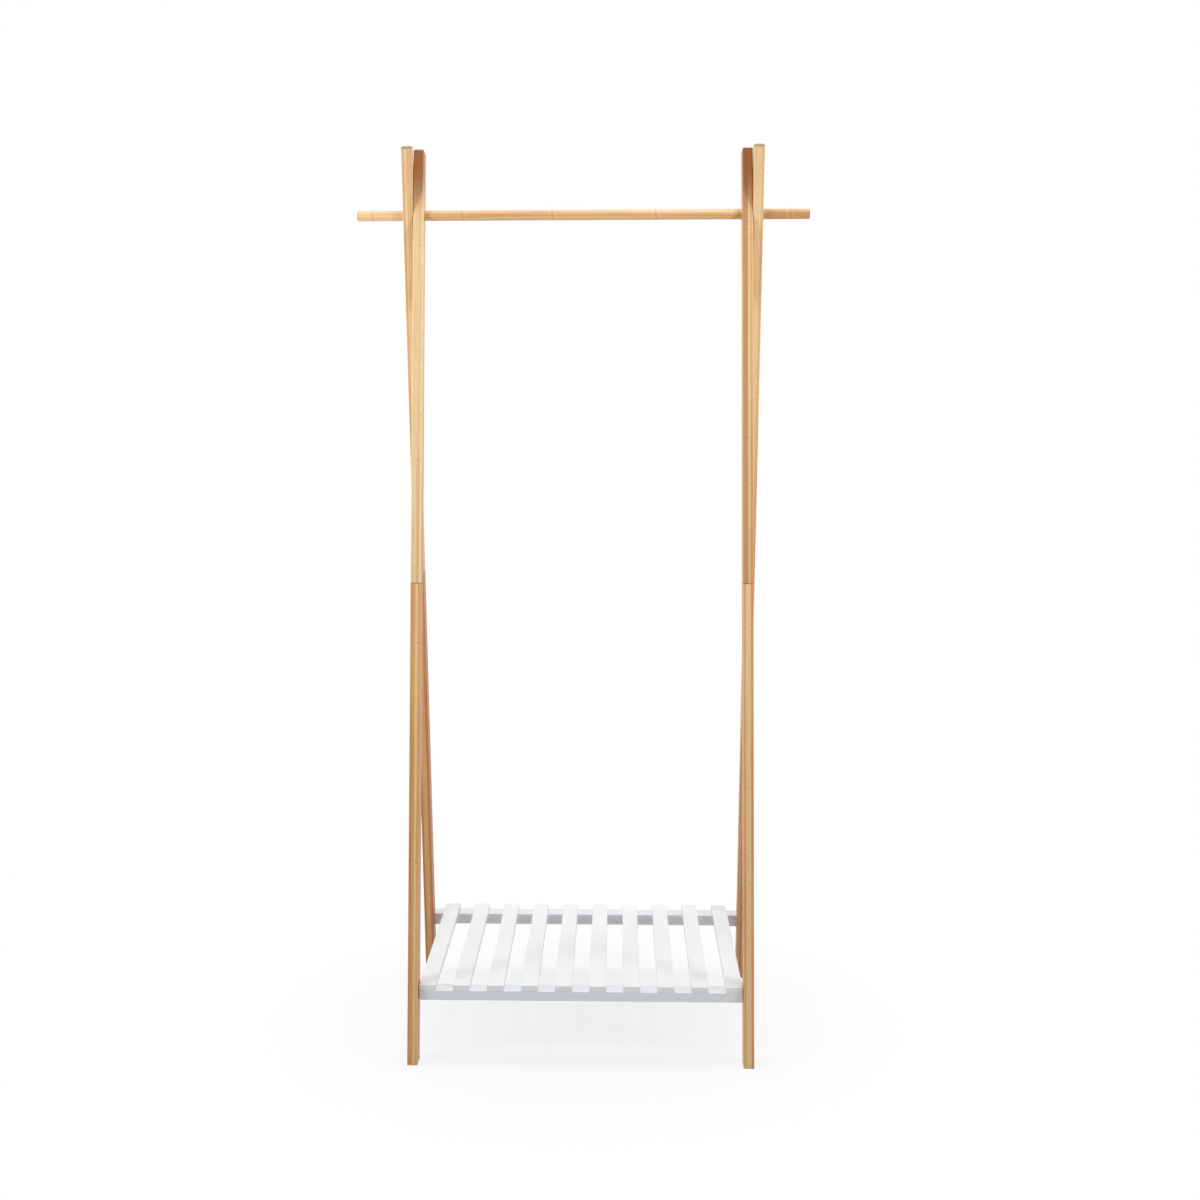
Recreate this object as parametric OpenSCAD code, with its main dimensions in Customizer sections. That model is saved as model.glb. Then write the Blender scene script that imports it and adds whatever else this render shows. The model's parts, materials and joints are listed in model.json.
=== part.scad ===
// Folding clothes rack: two pairs of crossed legs pivot on a round hanging rail,
// and a slatted shelf hinged between the front feet rests in notches behind the rear feet.
// Millimetres, Z up, X along the rail, Y towards the rear.
// The origin lies on the floor, at the middle of the rack's outline.

/* [Frame] */
// Height of the hanging rail's axis above the floor
rail_height = 1466; // [1300:1:1600]
// Lean of every leg from the vertical, in degrees
leg_lean = 9.2; // [7:0.1:11]
// Clear width between the two inner legs
clear_width = 562; // [440:1:640]
// Leg section, left to right
leg_thickness = 18; // [16:0.5:22]
// Leg section, front to back
leg_depth = 35; // [30:1:42]
// Length of an outer leg above the rail's axis
outer_leg_rise = 120; // [80:1:160]
// Length of an inner leg above the rail's axis
inner_leg_rise = 115; // [80:1:160]
// Distance down a leg from the rail's axis to the joint between its two halves
leg_joint_drop = 654; // [560:1:740]
// Running gap between an inner leg and the outer leg beside it
leg_gap = 0.5; // [0.3:0.1:1]
// Radius of the legs' long edges
leg_edge_r = 1.6; // [0.6:0.1:3]
// Bevel round the legs' top ends
top_bevel = 2.4; // [0.6:0.1:4]
// Bevel round the joint between the two halves
joint_bevel = 0.8; // [0.3:0.1:1.5]

/* [Hanging rail] */
// Rail diameter
rail_d = 18; // [15:0.5:21]
// Rail length
rail_length = 800; // [740:1:900]
// Bevel round the rail's ends
rail_bevel = 1.2; // [0.4:0.1:3]
// Radial running clearance of the rail and of the shelf's pivots
running_clearance = 0.06; // [0.03:0.01:0.1]

/* [Shelf] */
// Height of the slats' top faces above the floor
shelf_height = 134; // [110:1:180]
// Number of slats
slat_count = 10; // [7:1:11]
// Slat width
slat_width = 29; // [24:0.5:34]
// Slat thickness
slat_thickness = 10; // [9:0.5:14]
// Gap between the outermost slats and the inner legs
slat_side_gap = 1; // [0.6:0.1:3]
// Width of both battens under the slats, front to back
batten_width = 36; // [32:1:42]
// Height of the front batten, which pivots between the inner legs
front_batten_height = 17; // [15:0.5:22]
// Height of the rear batten, which rests in the notches
rear_batten_height = 22; // [18:0.5:28]
// Bevel along the rear batten's lower front edge
rear_batten_bevel = 5; // [2:0.5:7]
// Radius of the long edges of slats and battens
shelf_edge_r = 1; // [0.4:0.1:1.6]
// Bevel round the ends of slats and battens
shelf_bevel = 0.6; // [0.2:0.1:1]
// Distance from the front batten's front face to the pivot axis
pivot_inset = 15; // [13:0.5:17]
// Distance from the pivot axis to the inner leg's rear face
pivot_edge = 10.5; // [9.5:0.5:13]
// Depth of the notch in the outer legs at its ledge
notch_depth = 10; // [6:0.5:13]
// Slope of the notch's upper wall, which lets the batten rise out as the legs close
notch_slope = 62; // [56:1:75]
// Clearance between the rear batten and the notch
notch_clearance = 0.2; // [0.1:0.05:0.4]

/* [Leg joints] */
// Diameter of the stud that joins two leg halves
stud_d = 8; // [6:0.5:9]
// Length of the stud
stud_length = 70; // [50:1:90]
// Outer diameter of the threaded insert in the lower half
insert_d = 12; // [11:0.5:13]
// Length of that insert
insert_length = 15; // [10:1:25]
// Distance of the stud in front of the leg's middle
stud_offset = 6; // [4:0.5:8]
// Diameter of the dowel that keeps the halves in line
dowel_d = 6; // [5:0.5:7]
// Length of the dowel
dowel_length = 30; // [20:1:40]
// Distance of the dowel behind the leg's middle
dowel_offset = 9; // [8.5:0.5:10]

/* [Shelf pivots and screws] */
// Diameter of the pivot bolts
pivot_d = 6; // [5:0.5:7]
// Diameter of the pivot bolts' heads
pivot_head_d = 12; // [10:0.5:14]
// Thickness of those heads
pivot_head_t = 3; // [2:0.5:4]
// Depth that a pivot bolt reaches into the front batten
pivot_reach = 26; // [20:1:30]
// Width across the flats of the bolts' hexagon sockets
socket_flats = 4; // [3:0.5:4.5]
// Outer diameter of the threaded inserts in the front batten's ends
batten_insert_d = 10; // [9:0.5:11]
// Length of those inserts
batten_insert_length = 13; // [8:1:18]
// Diameter of the washers beside the front batten
washer_d = 16; // [13:0.5:17]
// Thickness of those washers
washer_t = 0.8; // [0.5:0.1:1.5]
// Running gap between a washer and the inner leg
washer_gap = 0.2; // [0.1:0.05:0.4]
// Diameter of the wood screws that hold the slats
slat_screw_d = 3.5; // [3:0.1:4.5]
// Diameter of their heads
slat_screw_head_d = 7; // [6:0.1:8]
// Depth that they reach into a slat
slat_screw_bite = 7; // [4:0.5:8]
// Distance from a batten's inner edge to the screws
slat_screw_inset = 8; // [6:0.5:9]
// Diameter of the screws that hold the rail in the outer legs
rail_screw_d = 4; // [3:0.5:5]
// Diameter of their heads
rail_screw_head_d = 8; // [7:0.5:9]
// Length of those screws
rail_screw_length = 24; // [20:1:26]
// Radial clearance round studs, inserts, dowels and screws
seat_clearance = 0.1; // [0.05:0.05:0.2]
// Spare depth at the end of every blind hole
hole_spare = 0.5; // [0.2:0.1:1.5]

/* [Hidden] */
// How far a cutting solid runs past the face that it opens
over = 2;
round_fn = 48;
arc_fn = 24;

inner_leg_x = clear_width / 2;
outer_leg_x = inner_leg_x + leg_thickness + leg_gap;
outer_width = 2 * (outer_leg_x + leg_thickness);

// Half of the leg's depth, measured level
leg_half_y = leg_depth / 2 / cos(leg_lean);
function leg_y(z) = (rail_height - z) * tan(leg_lean);
leg_length = (rail_height + leg_half_y * tan(leg_lean)) / cos(leg_lean) + leg_depth;

// Heights and places on the shelf, with the rail's axis at Y zero
batten_top = shelf_height - slat_thickness;
front_batten_z = batten_top - front_batten_height;
rear_batten_z = batten_top - rear_batten_height;
pivot_z = batten_top - front_batten_height / 2;
pivot_y = -leg_y(pivot_z) + leg_half_y - pivot_edge;
shelf_front = pivot_y - pivot_inset;
ledge_z = rear_batten_z - notch_clearance;
notch_y = leg_y(ledge_z) + leg_half_y - notch_depth;
rear_batten_y = notch_y + notch_clearance;
shelf_rear = rear_batten_y + batten_width;
shelf_length = shelf_rear - shelf_front;

// The rail stands off the middle of the outline by half of what the shelf sticks out behind
foot_reach = leg_y(0) + leg_half_y;
rail_y = (foot_reach - max(foot_reach, shelf_rear)) / 2;

front_batten_length = clear_width - 2 * (washer_t + washer_gap);
slat_span = clear_width - 2 * slat_side_gap - slat_width;
function slat_x(i) = -slat_span / 2 + (i - 1) * slat_span / (slat_count - 1);

front_screw_y = shelf_front + batten_width - slat_screw_inset;
rear_screw_y = rear_batten_y + slat_screw_inset;
screw_sink = rear_batten_height - front_batten_height;

wood = "burlywood";
paint = "white";
steel = "silver";

// Shifts the rack from the rail's own place to the middle of its outline
module in_frame() {
    translate([0, rail_y, 0]) children();
}

// Draws the right-hand side, or its mirror image on the left
module on_side(side) {
    if (side < 0) mirror([1, 0, 0]) children();
    else children();
}

// A leg's own frame: Z up along the leg from the rail's axis, X and Y at the middle of its section.
// An inner leg leans back towards its top, and an outer leg leans forward.
module leg_frame(inner) {
    x = (inner ? inner_leg_x : outer_leg_x) + leg_thickness / 2;
    translate([x, 0, rail_height]) rotate([inner ? -leg_lean : leg_lean, 0, 0]) children();
}

// Rectangle with rounded corners, from true arcs
module eased_section(width, depth, r) {
    square([width - 2 * r, depth], center = true);
    square([width, depth - 2 * r], center = true);
    for (x = [-1, 1], y = [-1, 1])
        translate([x * (width / 2 - r), y * (depth / 2 - r)]) circle(r, $fn = arc_fn);
}

// Four wedges that bevel the end of a bar whose end face lies at Z zero, facing up
module end_wedges(width, depth, bevel) {
    for (turn = [0:3]) {
        half = (turn % 2 == 0 ? width : depth) / 2;
        rotate([0, 0, 90 * turn]) rotate([90, 0, 0])
            linear_extrude(height = max(width, depth) + 2 * over, center = true)
                polygon([[half - bevel - over, over], [half + over, over], [half + over, -bevel - over]]);
    }
}

// Bar along Z with eased long edges and a bevel round each end
module eased_bar(width, depth, low, high, r, low_bevel, high_bevel) {
    difference() {
        translate([0, 0, low]) linear_extrude(height = high - low) eased_section(width, depth, r);
        if (high_bevel > 0) translate([0, 0, high]) end_wedges(width, depth, high_bevel);
        if (low_bevel > 0) translate([0, 0, low]) mirror([0, 0, 1]) end_wedges(width, depth, low_bevel);
    }
}

// Bore for the hanging rail, through one leg
module rail_bore() {
    translate([0, 0, rail_height]) rotate([0, 90, 0])
        cylinder(h = outer_width, d = rail_d + 2 * running_clearance, $fn = round_fn);
}

// Holes at the joint between two leg halves, in the leg's own frame
module joint_holes(upper) {
    translate([0, 0, -leg_joint_drop]) {
        translate([0, -stud_offset, 0]) {
            cylinder(h = stud_length + 2 * hole_spare, d = stud_d + 2 * seat_clearance, center = true, $fn = round_fn);
            if (!upper)
                translate([0, 0, -insert_length - hole_spare])
                    cylinder(h = insert_length + hole_spare + over, d = insert_d + 2 * seat_clearance, $fn = round_fn);
        }
        translate([0, dowel_offset, 0])
            cylinder(h = dowel_length + 2 * hole_spare, d = dowel_d + 2 * seat_clearance, center = true, $fn = round_fn);
    }
}

// Wood screw along Z: flat head on top, its face at Z zero, point downwards
module wood_screw(d, head_d, length, grow) {
    cone = (head_d - d) / 2;
    translate([0, 0, -cone]) cylinder(h = cone, d1 = d + 2 * grow, d2 = head_d + 2 * grow, $fn = round_fn);
    translate([0, 0, -length]) cylinder(h = length - cone, d = d + 2 * grow, $fn = round_fn);
}

// Places a rail screw: into the outer leg's rear face, square to the leg
module at_rail_screw() {
    leg_frame(false) translate([0, leg_depth / 2, 0]) rotate([-90, 0, 0]) children();
}

module rail_screw_hole() {
    at_rail_screw() {
        wood_screw(rail_screw_d, rail_screw_head_d, rail_screw_length + hole_spare, seat_clearance);
        cylinder(h = over, d = rail_screw_head_d + 2 * seat_clearance, $fn = round_fn);
    }
}

// Pivot of the shelf: hole for the bolt and its head through an inner leg
module pivot_hole() {
    translate([inner_leg_x - over, pivot_y, pivot_z]) rotate([0, 90, 0])
        cylinder(h = leg_thickness + 2 * over, d = pivot_d + 2 * running_clearance, $fn = round_fn);
    translate([inner_leg_x + leg_thickness - pivot_head_t - hole_spare, pivot_y, pivot_z]) rotate([0, 90, 0])
        cylinder(h = pivot_head_t + hole_spare + over, d = pivot_head_d + 4 * seat_clearance, $fn = round_fn);
}

// Notch that holds the rear batten: level ledge, upright wall, sloping upper wall
module notch() {
    top_z = batten_top + notch_clearance;
    far_y = notch_y + notch_depth + leg_depth;
    translate([outer_leg_x - over, 0, 0]) rotate([90, 0, 90])
        linear_extrude(height = leg_thickness + 2 * over)
            polygon([[notch_y, ledge_z], [far_y, ledge_z],
                     [far_y, top_z + (far_y - notch_y) * tan(notch_slope)], [notch_y, top_z]]);
}

module below_floor() {
    translate([-outer_width, -rail_height, -leg_length])
        cube([2 * outer_width, 2 * rail_height, leg_length]);
}

module inner_leg_upper(side) {
    color(wood) on_side(side) difference() {
        leg_frame(true) difference() {
            eased_bar(leg_thickness, leg_depth, -leg_joint_drop, inner_leg_rise,
                      leg_edge_r, joint_bevel, top_bevel);
            joint_holes(true);
        }
        rail_bore();
    }
}

module inner_leg_lower(side) {
    color(wood) on_side(side) difference() {
        leg_frame(true) difference() {
            eased_bar(leg_thickness, leg_depth, -leg_length, -leg_joint_drop, leg_edge_r, 0, joint_bevel);
            joint_holes(false);
        }
        pivot_hole();
        below_floor();
    }
}

module outer_leg_upper(side) {
    color(wood) on_side(side) difference() {
        leg_frame(false) difference() {
            eased_bar(leg_thickness, leg_depth, -leg_joint_drop, outer_leg_rise,
                      leg_edge_r, joint_bevel, top_bevel);
            joint_holes(true);
        }
        rail_bore();
        rail_screw_hole();
    }
}

module outer_leg_lower(side) {
    color(wood) on_side(side) difference() {
        leg_frame(false) difference() {
            eased_bar(leg_thickness, leg_depth, -leg_length, -leg_joint_drop, leg_edge_r, 0, joint_bevel);
            joint_holes(false);
        }
        notch();
        below_floor();
    }
}

// Stud through both halves of a leg
module leg_studs(inner) {
    color(steel) for (side = [-1, 1]) on_side(side) leg_frame(inner)
        translate([0, -stud_offset, -leg_joint_drop]) cylinder(h = stud_length, d = stud_d, center = true, $fn = round_fn);
}

// Threaded insert at the top of each lower half
module leg_inserts(inner) {
    color(steel) for (side = [-1, 1]) on_side(side) leg_frame(inner)
        translate([0, -stud_offset, -leg_joint_drop - insert_length]) difference() {
            cylinder(h = insert_length, d = insert_d, $fn = round_fn);
            translate([0, 0, -over])
                cylinder(h = insert_length + 2 * over, d = stud_d + 2 * seat_clearance, $fn = round_fn);
        }
}

module leg_dowels(inner) {
    color(wood) for (side = [-1, 1]) on_side(side) leg_frame(inner)
        translate([0, dowel_offset, -leg_joint_drop]) cylinder(h = dowel_length, d = dowel_d, center = true, $fn = round_fn);
}

module hanging_rail() {
    half = rail_length / 2;
    color(wood) difference() {
        translate([0, 0, rail_height]) rotate([0, 90, 0]) {
            cylinder(h = rail_length - 2 * rail_bevel, d = rail_d, center = true, $fn = round_fn);
            for (end = [0, 1]) mirror([0, 0, end]) translate([0, 0, half - rail_bevel])
                cylinder(h = rail_bevel, d1 = rail_d, d2 = rail_d - 2 * rail_bevel, $fn = round_fn);
        }
        for (side = [-1, 1]) on_side(side) rail_screw_hole();
    }
}

module rail_screws() {
    color(steel) for (side = [-1, 1]) on_side(side) at_rail_screw()
        wood_screw(rail_screw_d, rail_screw_head_d, rail_screw_length, 0);
}

// Screw through a batten from below into a slat, at its place along Y
module at_slat_screw(x, y, z) {
    translate([x, y, z]) mirror([0, 0, 1]) children();
}

module slat_screw(grow, spare) {
    wood_screw(slat_screw_d, slat_screw_head_d, front_batten_height + slat_screw_bite + spare, grow);
}

// Holes for all the slat screws, opened below by the depth that the heads are sunk
module slat_screw_holes(y, z, sink) {
    for (i = [1:slat_count]) at_slat_screw(slat_x(i), y, z) {
        slat_screw(seat_clearance, hole_spare);
        cylinder(h = sink + over, d = slat_screw_head_d + 2 * seat_clearance, $fn = round_fn);
    }
}

module front_batten() {
    color(paint) difference() {
        translate([0, shelf_front + batten_width / 2, front_batten_z + front_batten_height / 2]) rotate([0, 90, 0])
            eased_bar(front_batten_height, batten_width, -front_batten_length / 2, front_batten_length / 2,
                      shelf_edge_r, shelf_bevel, shelf_bevel);
        for (side = [-1, 1]) on_side(side)
            translate([front_batten_length / 2, pivot_y, pivot_z]) rotate([0, -90, 0]) {
                translate([0, 0, -over])
                    cylinder(h = batten_insert_length + hole_spare + over,
                             d = batten_insert_d + 2 * seat_clearance, $fn = round_fn);
                cylinder(h = pivot_reach + hole_spare, d = pivot_d + 2 * seat_clearance, $fn = round_fn);
            }
        slat_screw_holes(front_screw_y, front_batten_z, 0);
    }
}

module rear_batten() {
    middle_z = rear_batten_z + rear_batten_height / 2;
    color(paint) difference() {
        translate([0, rear_batten_y + batten_width / 2, middle_z]) rotate([0, 90, 0])
            eased_bar(rear_batten_height, batten_width, -outer_width / 2, outer_width / 2,
                      shelf_edge_r, shelf_bevel, shelf_bevel);
        // The bevel stops short of the notches, where the batten rests on the legs
        translate([0, rear_batten_y, rear_batten_z]) rotate([90, 0, 90])
            linear_extrude(height = front_batten_length, center = true)
                polygon([[-over, -over], [rear_batten_bevel + over, -over], [-over, rear_batten_bevel + over]]);
        slat_screw_holes(rear_screw_y, front_batten_z, screw_sink);
    }
}

module slat(i) {
    color(paint) difference() {
        translate([slat_x(i), shelf_front, batten_top + slat_thickness / 2]) rotate([-90, 0, 0])
            eased_bar(slat_width, slat_thickness, 0, shelf_length, shelf_edge_r, shelf_bevel, shelf_bevel);
        for (y = [front_screw_y, rear_screw_y]) at_slat_screw(slat_x(i), y, front_batten_z)
            slat_screw(seat_clearance, hole_spare);
    }
}

module slat_screws() {
    color(steel) for (i = [1:slat_count], y = [front_screw_y, rear_screw_y])
        at_slat_screw(slat_x(i), y, front_batten_z) slat_screw(0, 0);
}

// Bolt from an inner leg's outer face into the front batten's end, on which the shelf turns
module pivot_bolts() {
    head_x = inner_leg_x + leg_thickness - hole_spare;
    tip_x = front_batten_length / 2 - pivot_reach;
    color(steel) for (side = [-1, 1]) on_side(side) translate([0, pivot_y, pivot_z]) rotate([0, 90, 0])
        difference() {
            union() {
                translate([0, 0, tip_x]) cylinder(h = head_x - tip_x, d = pivot_d, $fn = round_fn);
                translate([0, 0, head_x - pivot_head_t])
                    cylinder(h = pivot_head_t, d = pivot_head_d, $fn = round_fn);
            }
            translate([0, 0, head_x - pivot_head_t])
                cylinder(h = pivot_head_t + over, d = socket_flats / cos(30), $fn = 6);
        }
}

module batten_inserts() {
    color(steel) for (side = [-1, 1]) on_side(side)
        translate([front_batten_length / 2, pivot_y, pivot_z]) rotate([0, -90, 0]) difference() {
            cylinder(h = batten_insert_length, d = batten_insert_d, $fn = round_fn);
            translate([0, 0, -over])
                cylinder(h = batten_insert_length + 2 * over, d = pivot_d + 2 * seat_clearance, $fn = round_fn);
        }
}

module pivot_washers() {
    color("whitesmoke") for (side = [-1, 1]) on_side(side)
        translate([front_batten_length / 2, pivot_y, pivot_z]) rotate([0, 90, 0]) difference() {
            cylinder(h = washer_t, d = washer_d, $fn = round_fn);
            translate([0, 0, -over])
                cylinder(h = washer_t + 2 * over, d = pivot_d + 4 * seat_clearance, $fn = round_fn);
        }
}

in_frame() inner_leg_upper(-1);  // inner_leg_upper_left
in_frame() inner_leg_upper(1);  // inner_leg_upper_right
in_frame() inner_leg_lower(-1);  // inner_leg_lower_left
in_frame() inner_leg_lower(1);  // inner_leg_lower_right
in_frame() leg_studs(true);  // inner_leg_studs
in_frame() leg_inserts(true);  // inner_leg_inserts
in_frame() leg_dowels(true);  // inner_leg_dowels
in_frame() outer_leg_upper(-1);  // outer_leg_upper_left
in_frame() outer_leg_upper(1);  // outer_leg_upper_right
in_frame() outer_leg_lower(-1);  // outer_leg_lower_left
in_frame() outer_leg_lower(1);  // outer_leg_lower_right
in_frame() leg_studs(false);  // outer_leg_studs
in_frame() leg_inserts(false);  // outer_leg_inserts
in_frame() leg_dowels(false);  // outer_leg_dowels
in_frame() hanging_rail();
in_frame() rail_screws();
in_frame() front_batten();
in_frame() rear_batten();
in_frame() slat_screws();
in_frame() pivot_bolts();
in_frame() batten_inserts();
in_frame() pivot_washers();
for (i = [1:slat_count]) in_frame() slat(i);
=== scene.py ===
import json
import math
import bpy
import numpy as np
from mathutils import Matrix, Vector


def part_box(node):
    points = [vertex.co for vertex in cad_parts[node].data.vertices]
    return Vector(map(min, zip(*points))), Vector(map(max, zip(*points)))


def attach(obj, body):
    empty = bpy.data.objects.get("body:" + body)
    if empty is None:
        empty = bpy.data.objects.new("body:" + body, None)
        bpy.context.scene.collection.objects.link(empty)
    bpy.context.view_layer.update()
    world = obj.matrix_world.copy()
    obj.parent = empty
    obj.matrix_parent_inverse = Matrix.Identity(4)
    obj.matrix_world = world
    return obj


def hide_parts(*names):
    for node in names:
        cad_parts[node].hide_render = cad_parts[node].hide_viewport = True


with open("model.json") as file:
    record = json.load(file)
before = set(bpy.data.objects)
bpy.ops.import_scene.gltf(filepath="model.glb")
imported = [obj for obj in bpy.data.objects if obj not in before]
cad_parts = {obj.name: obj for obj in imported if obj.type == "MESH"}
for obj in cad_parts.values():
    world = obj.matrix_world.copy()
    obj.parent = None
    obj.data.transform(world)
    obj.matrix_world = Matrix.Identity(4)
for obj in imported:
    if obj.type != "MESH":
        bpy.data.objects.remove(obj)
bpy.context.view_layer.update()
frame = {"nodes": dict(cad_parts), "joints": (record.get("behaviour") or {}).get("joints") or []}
print("frame loaded:", len(frame["nodes"]), "nodes")


def addObject(name, data):
    thing = bpy.data.objects.new(name, data)
    bpy.context.scene.collection.objects.link(thing)
    return thing


# camera, matched to the photograph: chest height, three metres in front of the rack
cameraSettings = {
    "focalPixels": 1744.7,
    "imagePixels": 1200,
    "sensorWidth": 36.0,
    "centreX": 560.0,                      # where the lens axis meets the picture
    "place": (0.0618, -3.1500, 1.1445),
    "yaw": 1.882,                          # degrees to the left
    "pitch": 6.609,                        # degrees downwards
    "roll": -0.109,
}


def makeCamera(settings):
    yaw, pitch, roll = (math.radians(settings[name]) for name in ("yaw", "pitch", "roll"))
    ahead = Vector((-math.sin(yaw) * math.cos(pitch), math.cos(yaw) * math.cos(pitch), -math.sin(pitch)))
    level = Vector((math.cos(yaw), math.sin(yaw), 0))
    upright = level.cross(ahead)
    right = level * math.cos(roll) + upright * math.sin(roll)
    up = upright * math.cos(roll) - level * math.sin(roll)
    data = bpy.data.cameras.new("camera")
    data.sensor_width = settings["sensorWidth"]
    data.lens = settings["focalPixels"] / settings["imagePixels"] * settings["sensorWidth"]
    data.shift_x = 0.5 - settings["centreX"] / settings["imagePixels"]
    camera = addObject("camera", data)
    camera.matrix_world = (Matrix.Translation(settings["place"])
                           @ Matrix((right, up, -ahead)).transposed().to_4x4())
    bpy.context.scene.camera = camera


makeCamera(cameraSettings)
bpy.context.scene.view_settings.view_transform = "Standard"
print("camera placed")


# a shader value that adds a Math node for each operator
class Value:
    def __init__(self, graph, socket):
        self.graph = graph
        self.socket = socket

    def math(self, operation, *others):
        sockets = dict(enumerate((self,) + others))
        return self.graph.node("ShaderNodeMath", {"operation": operation}, sockets)

    def __add__(self, other): return self.math("ADD", other)
    def __radd__(self, other): return self.math("ADD", other)
    def __sub__(self, other): return self.math("SUBTRACT", other)
    def __rsub__(self, other): return (self * -1).math("ADD", other)
    def __mul__(self, other): return self.math("MULTIPLY", other)
    def __rmul__(self, other): return self.math("MULTIPLY", other)
    def __truediv__(self, other): return self.math("DIVIDE", other)
    def __abs__(self): return self.math("ABSOLUTE")

    # 0 below low, 1 above high, and a smooth rise between
    def rise(self, low, high):
        return self.graph.node("ShaderNodeMapRange", {"interpolation_type": "SMOOTHSTEP"},
                               {"Value": self, "From Min": low, "From Max": high})


class Graph:
    def __init__(self, tree):
        self.tree = tree

    # any node: its type, its settings, then the values or links of its sockets
    def node(self, kind, settings=None, sockets=None, output=0):
        node = self.tree.nodes.new(kind)
        for name, setting in (settings or {}).items():
            if name == "stops":
                stops = node.color_ramp.elements
                while len(stops) < len(setting):
                    stops.new(1.0)
                for stop, (place, colour) in zip(stops, setting):
                    stop.position = place
                    stop.color = (*colour, 1)
            else:
                setattr(node, name, setting)
        for name, content in (sockets or {}).items():
            self.fill(node.inputs[name], content)
        return Value(self, node.outputs[output])

    def fill(self, target, content):
        if isinstance(content, Value):
            self.tree.links.new(content.socket, target)
        elif target.type == "RGBA":
            target.default_value = (*content, 1)
        else:
            target.default_value = content

    def find(self, kind):
        return next(node for node in self.tree.nodes if node.type == kind)

    # colours mixed by a factor; a Mix node's two colours are its sockets 6 and 7, its result is output 2
    def blend(self, factor, first, second):
        return self.node("ShaderNodeMix", {"data_type": "RGBA"}, {0: factor, 6: first, 7: second}, 2)

    def split(self, vector):
        first = self.node("ShaderNodeSeparateXYZ", None, {0: vector})
        return [Value(self, output) for output in first.socket.node.outputs]

    def join(self, x, y, z):
        return self.node("ShaderNodeCombineXYZ", None, {0: x, 1: y, 2: z})

    # fine streaks or specks: noise on three scaled coordinates
    def grain(self, x, y, z, detail=2.0, roughness=0.5):
        return self.node("ShaderNodeTexNoise", None, {
            "Vector": self.join(x, y, z), "Scale": 1.0, "Detail": detail, "Roughness": roughness})

    def place(self):
        return self.node("ShaderNodeTexCoord", None, None, "Object")

    def bump(self, height, strength, distance=0.00012):
        return self.node("ShaderNodeBump", None,
                         {"Height": height, "Strength": strength, "Distance": distance})


# a new material; paint gives the contents of the shader's sockets
def makeMaterial(name, paint):
    material = bpy.data.materials.new(name)
    material.use_nodes = True
    graph = Graph(material.node_tree)
    shader = graph.find("BSDF_PRINCIPLED")
    for socket, content in paint(graph).items():
        graph.fill(shader.inputs[socket], content)
    return material


def dress(names, material):
    for name in names:
        thing = frame["nodes"][name]
        if not thing.material_slots:
            thing.data.materials.append(material)
        for slot in thing.material_slots:
            slot.material = material


# bamboo legs: strips glued four across and two deep, each with its own tone, fibres and culm nodes
legSettings = {
    "lean": math.radians(9.2),
    "innerEdge": 0.281,                    # distance of the inner legs' inner faces from the middle
    "outerEdge": 0.2995,
    "stripWidth": 0.0045,
    "depth": 0.035,
    "width": 0.018,
    "nodeSpacing": 0.38,
    "nodeHeight": 0.0035,
    "fibreScale": 900,
    "bundleScale": 2400,
    "poreScale": 2600,
    "paleStripAt": 2.45,                   # in strip widths from a leg's left edge
    "darkStripAt": 2.9,
    "deepen": (0.2, 0.66, 0.32),           # the legs deepen between these drops below the rail, by this tone
    "upper": ((0.0, (0.58, 0.29, 0.11)), (0.3, (0.79, 0.49, 0.22)), (0.62, (0.91, 0.64, 0.325)),
              (1.0, (0.98, 0.78, 0.45))),
    "lower": ((0.0, (0.50, 0.19, 0.055)), (0.32, (0.75, 0.38, 0.135)), (0.66, (0.94, 0.60, 0.25)),
              (1.0, (0.98, 0.74, 0.385))),
    # how pale each piece is, how much paler the left one is than the right one, and how its strips differ
    "tones": {"inner_leg_upper": (0.62, 0.36, 1.0), "inner_leg_lower": (1.04, 0.11, 1.4),
              "outer_leg_upper": (0.76, 0.06, 0.8), "outer_leg_lower": (0.50, 0.0, 0.9)},
    "innerTop": 0.115,                     # how far the legs rise above the rail's axis
    "outerTop": 0.120,
    "sealed": 0.0048,                      # height of the darker band at the top ends
    "paintedShadow": (0.34, 0.105, 0.022),         # painted shadow: the inner legs darken towards their top ends, where the outer legs shade them
    "paintedShadowFrom": -0.02,
    "paintedShadowTo": 0.085,
    "rim": (0.90, 0.70, 0.45),
    "fibre": (0.44, 0.19, 0.07),
    "glue": (0.38, 0.16, 0.06),
    "endPale": (0.36, 0.21, 0.13),
    "endDark": (0.13, 0.06, 0.035),
}
railAxis = next(joint["pos_m"] for joint in frame["joints"] if joint["name"] == "legs_fold")


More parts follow.
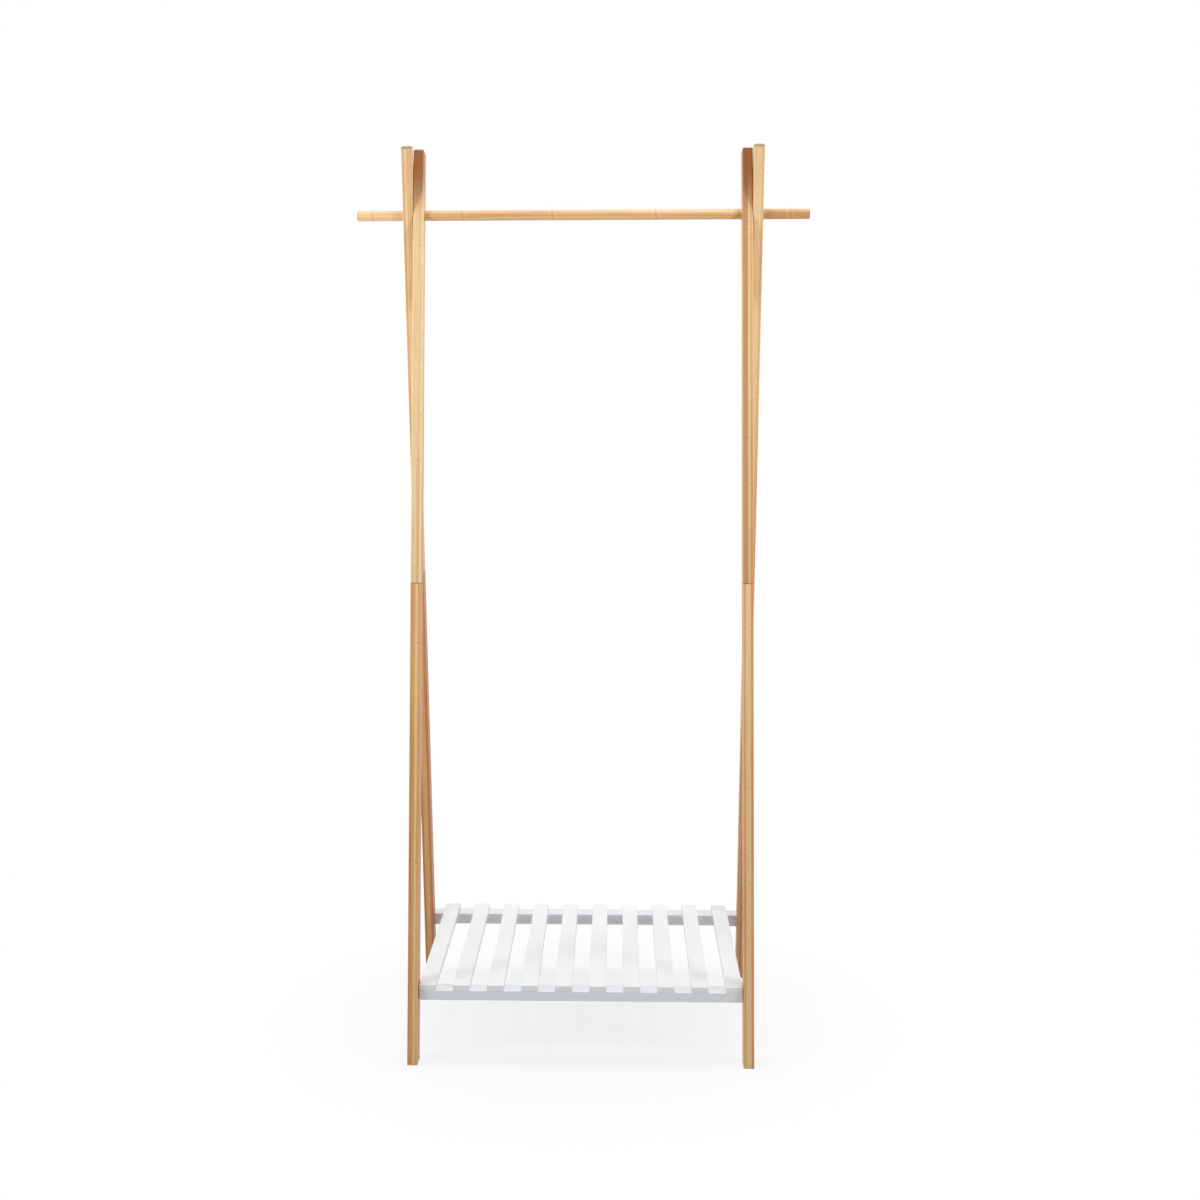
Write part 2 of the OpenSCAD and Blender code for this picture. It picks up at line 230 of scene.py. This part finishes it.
def paintLeg(settings, kind, half, seed):
    lean = settings["lean"] if kind == "inner" else -settings["lean"]
    edge, width = settings[f"{kind}Edge"], settings["width"]
    fibreScale, bundleScale, poreScale = (settings[f"{name}Scale"] for name in ("fibre", "bundle", "pore"))

    def paint(graph):
        # the leg's own frame: z runs up the leg from the rail's axis, y goes from its front to its back
        origin = Matrix.Rotation(lean, 3, "X") @ Vector((0, railAxis[1], railAxis[2]))
        x, y, z = graph.split(graph.node("ShaderNodeMapping", None, {
            "Vector": graph.place(), "Location": tuple(-origin), "Rotation": (lean, 0, 0)}))
        middle = x.math("SIGN") * (edge + width / 2)
        across = (x - middle + width / 2) / settings["stripWidth"]
        deep = (y / settings["depth"] + 0.5) * 2
        column, row = across.math("FLOOR"), deep.math("FLOOR")
        side = x.math("SIGN") * 9              # so that the left and the right leg differ
        strip = graph.join(column + side, row * 3 + seed, seed)
        chance = graph.node("ShaderNodeTexWhiteNoise", {"noise_dimensions": "3D"}, {"Vector": strip})
        drift = graph.grain((column + side) * 5.1, row * 4.7 + seed, z * 2.2)
        base, paler, contrast = settings["tones"][f"{kind}_leg_{half}"]
        tone = (chance - 0.5) * contrast + (drift - 0.5) * 1.1 + base - x.math("SIGN") * paler
        # a pale strip and a dark one at the right of each leg, and a deeper tone further down
        paleStrip = 1 - abs(across - settings["paleStripAt"]).rise(0.3, 0.5)
        darkStrip = across.rise(settings["darkStripAt"], settings["darkStripAt"] + 0.15)
        start, finish, deeper = settings["deepen"]
        tone = tone + (paleStrip * 0.32 - darkStrip * 0.4) * contrast - (z * -1).rise(start, finish) * deeper
        colour = graph.node("ShaderNodeValToRGB", {"stops": settings[half]}, {"Fac": tone})
        # long fibres, and short dark bundles between them
        fibre = graph.grain(x * fibreScale, y * fibreScale, z * 11 + seed, 4.0, 0.62)
        bundle = graph.grain(x * bundleScale, y * bundleScale, z * 75 + seed)
        colour = graph.blend(fibre.rise(0.5, 0.74) * 0.55, colour, settings["fibre"])
        colour = graph.blend(bundle.rise(0.6, 0.74) * 0.3, colour, settings["fibre"])
        edgeAcross = abs(across - column - 0.5).rise(0.44, 0.5)
        edgeDeep = abs(deep - row - 0.5).rise(0.485, 0.5)
        glue = edgeAcross.math("MAXIMUM", edgeDeep)
        colour = graph.blend(glue * 0.36, colour, settings["glue"])
        # a culm node crosses one strip at a time, as a soft darker bar with a pale rim
        climb = (z + chance * 1.9 + (fibre - 0.5) * 0.002) / settings["nodeSpacing"]
        offNode = abs(climb - climb.math("ROUND")) * (settings["nodeSpacing"] / settings["nodeHeight"])
        bar = 1 - offNode.rise(0.2, 1.0)
        rim = offNode.rise(0.7, 1.3) * (1 - offNode.rise(1.4, 2.6))
        colour = graph.blend(bar * 0.2, colour, settings["fibre"])
        colour = graph.blend(rim * 0.12, colour, settings["rim"])
        # painted shadow: the inner legs' upper ends turn a deep reddish brown, standing in for the outer
        # legs' shade on them
        if kind == "inner":
            outward = (abs(x) - edge) / width
            paintedShadowMask = z.rise(settings["paintedShadowFrom"], settings["paintedShadowTo"]) * (outward * 0.08 + 0.88)
            colour = graph.blend(paintedShadowMask, colour, settings["paintedShadow"])
        # end grain, where the surface faces along the leg, and the sealed band at the top end
        facing = graph.node("ShaderNodeTexCoord", None, None, "Normal")
        along = graph.node("ShaderNodeVectorMath", {"operation": "DOT_PRODUCT"},
                           {0: facing, 1: (0, math.sin(lean), math.cos(lean))}, "Value")
        top = settings[f"{kind}Top"] - settings["sealed"]
        end = abs(along).rise(0.3, 0.6).math("MAXIMUM", z.rise(top, top + 0.001) * 0.75)
        pores = graph.grain(x * poreScale, y * poreScale, z * 300).rise(0.42, 0.6)
        colour = graph.blend(end * 0.9, colour, graph.blend(pores, settings["endPale"], settings["endDark"]))
        return {
            "Base Color": colour,
            "Roughness": 0.42 + fibre * 0.16 + end * 0.2,
            "Coat Weight": 0.12,
            "Coat Roughness": 0.3,
            "Normal": graph.bump(fibre * 0.7 - glue * 0.5 - bundle * 0.2, 0.4),
        }
    return paint


seed = 2.0
for kind in ("inner", "outer"):
    for half in ("upper", "lower"):
        wood = makeMaterial(f"{kind}_leg_{half}_bamboo", paintLeg(legSettings, kind, half, seed))
        dress([f"{kind}_leg_{half}_left", f"{kind}_leg_{half}_right"], wood)
        seed += 4.0
    dress([f"{kind}_leg_dowels"], wood)
print("legs dressed")


# Closed surface from rings of points, an array of stations by points around by 3: quads join each ring to the
# next one, and a fan of triangles to a middle point closes each end. Gives its points, quads and triangles.
def closeRings(rings, middles):
    stations, around = rings.shape[:2]
    points = np.concatenate((rings.reshape(-1, 3), middles))
    here = np.arange(around)
    there = (here + 1) % around
    ring = np.arange(stations - 1)[:, None] * around
    quads = np.stack([ring + here, ring + there, ring + around + there, ring + around + here], 2)
    last, total = (stations - 1) * around, stations * around
    fans = np.concatenate((np.stack([there, here, np.full(around, total)], 1),
                           np.stack([last + here, last + there, np.full(around, total + 1)], 1)))
    return points, quads.reshape(-1, 4), fans


def addPiece(name, points, faces, smooth, sharpAngle):
    mesh = bpy.data.meshes.new(name)
    mesh.from_pydata(points.tolist(), [], faces)
    mesh.polygons.foreach_set("use_smooth", smooth)
    mesh.set_sharp_from_angle(angle=math.radians(sharpAngle))
    return addObject(name, mesh)


# hanging rail: a turned bamboo pole with faint swellings at its culm nodes and bevelled ends
railSettings = {
    "length": 0.8,
    "radius": 0.009,
    "bevel": 0.0012,
    "swell": 0.00012,                      # how far the pole swells at a culm node
    "swellWidth": 0.006,
    "nodes": (-0.372, -0.213, -0.053, 0.130, 0.366),
    "nodeWidth": 0.003,
    "plainFrom": 0.276,                    # no swelling where the rail runs through the legs
    "plainTo": 0.322,
    "fibreScale": 420,
    "poreScale": 2400,
    "around": 72,
    "stations": 220,
    "tones": ((0.0, (0.50, 0.25, 0.10)), (0.35, (0.68, 0.42, 0.19)), (0.7, (0.78, 0.52, 0.27)),
              (1.0, (0.86, 0.62, 0.36))),
    "rim": (0.86, 0.62, 0.36),
    "fibre": (0.40, 0.17, 0.06),
    "endPale": (0.55, 0.34, 0.16),
    "endDark": (0.22, 0.10, 0.04),
}


# Radius along the rail: its plain radius plus a bell curve at each culm node, less a straight
# bevel at both ends. Each station is a full circle, and both ends close on a middle point.
def makeRail(settings):
    half, radius, bevel = settings["length"] / 2, settings["radius"], settings["bevel"]
    along = np.linspace(-half + bevel, half - bevel, settings["stations"])
    bells = sum(np.exp(-((along - spot) / settings["swellWidth"]) ** 2) for spot in settings["nodes"])
    inLeg = (np.abs(along) > settings["plainFrom"]) & (np.abs(along) < settings["plainTo"])
    radii = radius + settings["swell"] * np.where(inLeg, 0.0, bells)
    along = np.concatenate(([-half], along, [half]))
    radii = np.concatenate(([radius - bevel], radii, [radius - bevel]))
    around = settings["around"]
    turn = np.arange(around) * (2 * np.pi / around)
    rings = np.stack([np.repeat(along[:, None], around, 1),
                      railAxis[1] + radii[:, None] * np.cos(turn),
                      railAxis[2] + radii[:, None] * np.sin(turn)], 2)
    middles = [(-half, railAxis[1], railAxis[2]), (half, railAxis[1], railAxis[2])]
    points, quads, fans = closeRings(rings, middles)
    smooth = np.arange(len(quads) + len(fans)) < len(quads)
    return addPiece("railPole", points, quads.tolist() + fans.tolist(), smooth, 30)


def paintRail(graph):
    settings = railSettings
    x, y, z = graph.split(graph.place())
    y, z = y - railAxis[1], z - railAxis[2]
    fibreScale, poreScale = settings["fibreScale"], settings["poreScale"]
    drift = graph.grain(x * 2.2, y * 170, z * 170)
    # paler at its left end and darker at its right end; darker along its top as painted shade
    ends = (1 - x.rise(-0.34, -0.28)) * 0.3 - x.rise(0.3, 0.33) * 0.3
    top = (z / settings["radius"]).rise(0.3, 0.85)
    tone = (drift - 0.5) * 1.7 + ends - top * 0.5 + 0.42
    colour = graph.node("ShaderNodeValToRGB", {"stops": settings["tones"]}, {"Fac": tone})
    fibre = graph.grain(x * 6, y * fibreScale, z * fibreScale)
    colour = graph.blend(fibre.rise(0.5, 0.76) * (1 - top) * 0.34, colour, settings["fibre"])
    wobble = (graph.grain(3.0, y * 80, z * 80) - 0.5) * 0.006
    bars, rims = 0.0, 0.0
    for spot in settings["nodes"]:
        off = abs(x + wobble - spot) / settings["nodeWidth"]
        bars = (1 - off.rise(0.2, 1.0)) + bars
        rims = off.rise(0.8, 1.4) * (1 - off.rise(1.8, 3.2)) + rims
    colour = graph.blend(bars * 0.24, colour, settings["fibre"])
    colour = graph.blend(rims * 0.16, colour, settings["rim"])
    half = settings["length"] / 2
    end = abs(x).rise(half - 0.0011, half - 0.0003)
    pores = graph.grain(x * 10, y * poreScale, z * poreScale).rise(0.42, 0.6)
    colour = graph.blend(end * 0.85, colour, graph.blend(pores, settings["endPale"], settings["endDark"]))
    return {
        "Base Color": colour,
        "Roughness": 0.5 + fibre * 0.14 + end * 0.15,
        "Coat Weight": 0.05,
        "Coat Roughness": 0.4,
        "Normal": graph.bump(fibre * 0.6 - bars * 0.8, 0.2),
    }


railPole = makeRail(railSettings)
railPole.data.materials.append(makeMaterial("railBamboo", paintRail))
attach(railPole, "outer_frame")
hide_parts("hanging_rail")
print("rail made")


# white satin paint: brush lines along each piece, and the wood's grain faintly through them
paintSettings = {
    "slatWhite": (0.815, 0.825, 0.835),
    "slatShade": (0.73, 0.745, 0.76),
    # painted shade: the battens' white is darker and bluer than the slats', standing in for the shade on
    # their front faces
    "battenWhite": (0.755, 0.785, 0.81),
    "battenShade": (0.68, 0.71, 0.74),
    "lineScale": 520,
    "grainScale": 150,
}


def paintWhite(white, shade, alongSlat):
    def paint(graph):
        line, grain = paintSettings["lineScale"], paintSettings["grainScale"]
        x, y, z = graph.split(graph.place())
        along, across = (y, x) if alongSlat else (x, y)
        brush = graph.grain(along * 7, across * line, z * line, 3.0, 0.6)
        relief = graph.grain(along * 4, across * grain, z * grain, 3.0, 0.55)
        cloud = graph.grain(along * 3, across * 17, z * 17)
        mottle = brush.rise(0.45, 0.8) * 0.3 + relief.rise(0.5, 0.8) * 0.4 + cloud.rise(0.4, 0.7) * 0.35
        return {
            "Base Color": graph.blend(mottle, white, shade),
            "Roughness": 0.36 + brush * 0.12 + relief * 0.08,
            "Coat Weight": 0.1,
            "Coat Roughness": 0.25,
            "Normal": graph.bump(brush * 0.5 + relief * 0.5, 0.3),
        }
    return paint


for part, nodes in (("slat", [f"slat_{number}" for number in range(1, 11)]),
                    ("batten", ["front_batten", "rear_batten"])):
    white, shade = paintSettings[f"{part}White"], paintSettings[f"{part}Shade"]
    dress(nodes, makeMaterial(f"{part}Paint", paintWhite(white, shade, part == "slat")))
print("shelf painted")


# bright zinc on the fasteners, and natural nylon for the washers
hardwareSettings = {
    "zincPale": (0.66, 0.67, 0.69),
    "zincDark": (0.46, 0.47, 0.50),
    "nylonPale": (0.74, 0.74, 0.71),
    "nylonDark": (0.62, 0.62, 0.59),
}


def paintZinc(graph):
    x, y, z = graph.split(graph.place())
    grain = graph.grain(x * 900, y * 900, z * 900, 3.0, 0.6)
    pale, dark = hardwareSettings["zincPale"], hardwareSettings["zincDark"]
    return {
        "Base Color": graph.blend(grain.rise(0.35, 0.7), pale, dark),
        "Roughness": 0.26 + grain * 0.2,
        "Metallic": 1.0,
        "Normal": graph.bump(grain, 0.15, 0.0001),
    }


def paintNylon(graph):
    x, y, z = graph.split(graph.place())
    cloud = graph.grain(x * 300, y * 300, z * 300)
    pale, dark = hardwareSettings["nylonPale"], hardwareSettings["nylonDark"]
    return {
        "Base Color": graph.blend(cloud.rise(0.35, 0.65), pale, dark),
        "Roughness": 0.42 + cloud * 0.12,
        "Normal": graph.bump(cloud, 0.1, 0.0001),
    }


zinc = makeMaterial("zincSteel", paintZinc)
dress(["inner_leg_studs", "inner_leg_inserts", "outer_leg_studs", "outer_leg_inserts", "rail_screws",
       "slat_screws", "batten_inserts"], zinc)
dress(["pivot_washers"], makeMaterial("washerNylon", paintNylon))


# pivot bolts of the shelf, with a turned head and a hexagon socket
boltSettings = {
    "length": 0.0445,
    "shank": 0.0029,                       # radius, which leaves the bore some clearance
    "head": 0.00595,
    "headThickness": 0.003,
    "tipBevel": 0.0008,
    "headBevel": 0.0005,
    "flats": 0.004,                        # across the socket's flats
    "socketBevel": 0.0003,
    "socketDepth": 0.0022,
    "around": 48,
}


# Each station of the profile is a circle of its radius, or in the socket a hexagon, whose radius is half its
# flats over the cosine of the angle from the nearest flat's middle. Both ends close on a middle point.
def makeBolts(settings):
    low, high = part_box("pivot_bolts")
    outer, pivotY, pivotZ = high.x, (low.y + high.y) / 2, (low.z + high.z) / 2
    length, shank, head, thick = (settings[name] for name in ("length", "shank", "head", "headThickness"))
    tip, bevel, mouth = settings["tipBevel"], settings["headBevel"], settings["socketBevel"]
    half = settings["flats"] / 2
    profile = np.array([                   # depth below the head's face, radius, and 1 in the socket
        (length, shank - tip, 0), (length - tip, shank, 0), (thick, shank, 0),
        (thick, head, 0), (bevel, head, 0), (0, head - bevel, 0),
        (0, half + mouth, 1), (mouth, half, 1), (settings["socketDepth"], half, 1)])
    inwards, radii, isHexagon = profile[:, 0], profile[:, 1:2], profile[:, 2:3]
    around = settings["around"]
    turn = np.arange(around) * (2 * np.pi / around)
    hexagon = 1 / np.cos((turn % (np.pi / 3)) - np.pi / 6)
    radius = radii * np.where(isHexagon, hexagon, 1.0)
    rings = np.stack([np.repeat(outer - inwards[:, None], around, 1),
                      pivotY + radius * np.cos(turn), pivotZ + radius * np.sin(turn)], 2)
    middles = [(outer - inwards[0], pivotY, pivotZ), (outer - inwards[-1], pivotY, pivotZ)]
    right, quads, fans = closeRings(rings, middles)
    # the left bolt is the right one mirrored, with its faces turned round
    count = len(right)
    points = np.concatenate((right, right * (-1, 1, 1)))
    faces = (quads.tolist() + fans.tolist()
             + (quads[:, ::-1] + count).tolist() + (fans[:, ::-1] + count).tolist())
    return addPiece("shelfBolts", points, faces, np.ones(len(faces), bool), 25)


shelfBolts = makeBolts(boltSettings)
shelfBolts.data.materials.append(zinc)
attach(shelfBolts, "shelf")
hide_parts("pivot_bolts")
print("hardware made")


# studio: white floor that keeps the rack's soft shadow, white surroundings and three soft lamps
studioSettings = {
    "floorHalf": 15.0,
    "floorColour": (0.78, 0.78, 0.78),
    "whiteNear": 0.71,                     # share of plain white seen close to the rack
    "fadeFrom": 0.1,                       # distances where the floor fades into pure white
    "fadeTo": 0.64,
    "worldLevel": 0.3,
    "lamps": (                             # name, place, aim, size, power and spread
        ("leftLamp", (-1.8, -1.1, 1.45), (-0.1, 0, 1.35), (0.6, 1.2), 9.5, 100),
        ("rightLamp", (1.8, -1.1, 1.45), (0.1, 0, 1.35), (0.6, 1.2), 9.5, 100),
        ("topLamp", (0, 0.35, 2.9), (0, 0.1, 0), (1.8, 1.2), 48.0, 180),
    ),
}


# 1 for rays from the camera and for reflections, 0 for the rays that light the rack
def seenDirectly(graph):
    rays = graph.node("ShaderNodeLightPath", None, None, "Is Camera Ray")
    glossy = Value(graph, rays.socket.node.outputs["Is Glossy Ray"])
    return (rays + glossy).math("MINIMUM", 1.0)


def makeFloor(settings):
    half = settings["floorHalf"]
    mesh = bpy.data.meshes.new("studioFloor")
    corners = [(-half, -half, 0), (half, -half, 0), (half, half, 0), (-half, half, 0)]
    mesh.from_pydata(corners, [], [(0, 1, 2, 3)])
    floor = addObject("studioFloor", mesh)
    material = makeMaterial("floorWhite", lambda graph: {
        "Base Color": settings["floorColour"], "Roughness": 0.75, "Specular IOR Level": 0.2})
    graph = Graph(material.node_tree)
    x, y, z = graph.split(graph.place())
    distance = (x * x + y * y).math("SQRT")
    near = settings["whiteNear"]
    plain = distance.rise(settings["fadeFrom"], settings["fadeTo"]) * (1 - near) + near
    share = plain * seenDirectly(graph)
    white = graph.node("ShaderNodeEmission", None, {"Color": (1, 1, 1), "Strength": 1.0})
    shader = Value(graph, graph.find("BSDF_PRINCIPLED").outputs[0])
    mixed = graph.node("ShaderNodeMixShader", None, {0: share, 1: shader, 2: white})
    graph.fill(graph.find("OUTPUT_MATERIAL").inputs["Surface"], mixed)
    mesh.materials.append(material)


def makeWorld(settings):
    world = bpy.data.worlds.new("studio")
    bpy.context.scene.world = world
    world.use_nodes = True
    graph = Graph(world.node_tree)
    background = graph.find("BACKGROUND")
    graph.fill(background.inputs["Color"], (1, 1, 1))
    level = settings["worldLevel"]
    graph.fill(background.inputs["Strength"], seenDirectly(graph) * (1 - level) + level)


def makeLamp(name, place, target, size, power, spread):
    data = bpy.data.lights.new(name, "AREA")
    data.shape = "RECTANGLE"
    data.size, data.size_y = size
    data.energy = power
    data.spread = math.radians(spread)
    lamp = addObject(name, data)
    lamp.location = place
    lamp.rotation_euler = (Vector(target) - Vector(place)).to_track_quat("-Z", "Y").to_euler()


makeFloor(studioSettings)
makeWorld(studioSettings)
for lamp in studioSettings["lamps"]:
    makeLamp(*lamp)
print("studio set")
